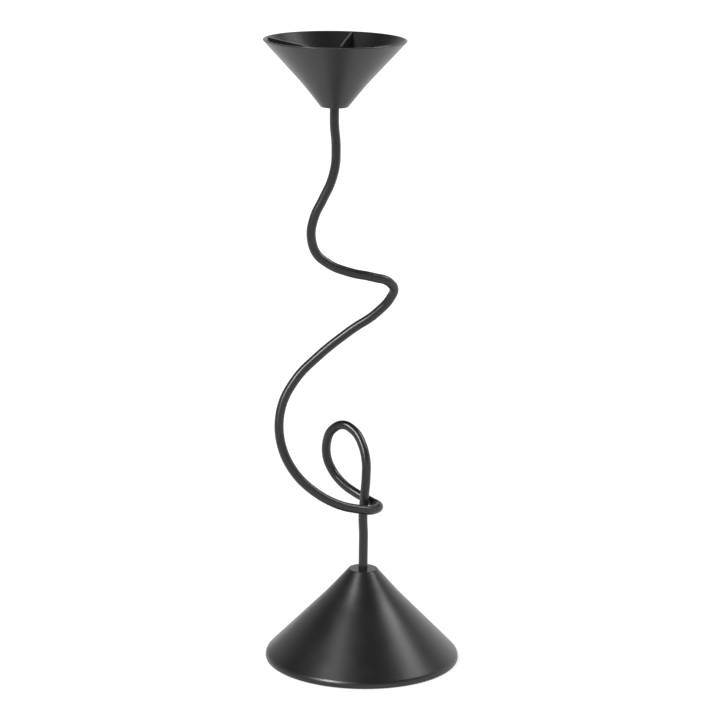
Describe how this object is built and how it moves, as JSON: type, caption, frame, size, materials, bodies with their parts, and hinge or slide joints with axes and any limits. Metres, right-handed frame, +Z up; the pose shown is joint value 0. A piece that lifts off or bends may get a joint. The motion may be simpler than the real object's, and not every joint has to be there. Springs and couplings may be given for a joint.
{
  "type": "taper candle holder",
  "caption": "Black metal taper candle holder: a weighted cone foot, a bent rod that winds up in a loose spiral, and a funnel cup with upright blades that grip the candle.",
  "frame": {"origin": "centre of the felt face that the holder stands on, on the axis of the foot's cone", "axes": "+Z up along the foot's axis, +X to the viewer's right in the picture, +Y away from the viewer; the cup's axis stands 16.3 mm to -X"},
  "size_m": [0.0963, 0.0934, 0.3],
  "materials": {
    "black_paint": "satin black powder coat, faintly grained, with soft broad highlights",
    "zinc_steel": "zinc plated, dull",
    "cast_iron": "rough as cast",
    "felt": "pressed black felt"
  },
  "bodies": {
    "root": {"base_cone": "black_paint", "base_pad": "felt", "base_plate": "zinc_steel", "ballast": "cast_iron", "base_washer": "zinc_steel", "base_nut": "zinc_steel", "stem": "black_paint", "cup_cone": "black_paint", "cup_washer": "zinc_steel", "cup_nut": "zinc_steel", "candle_fin_1": "black_paint", "candle_fin_2": "black_paint", "candle_fin_3": "black_paint", "candle_fin_4": "black_paint"}
  },
  "joints": []
}
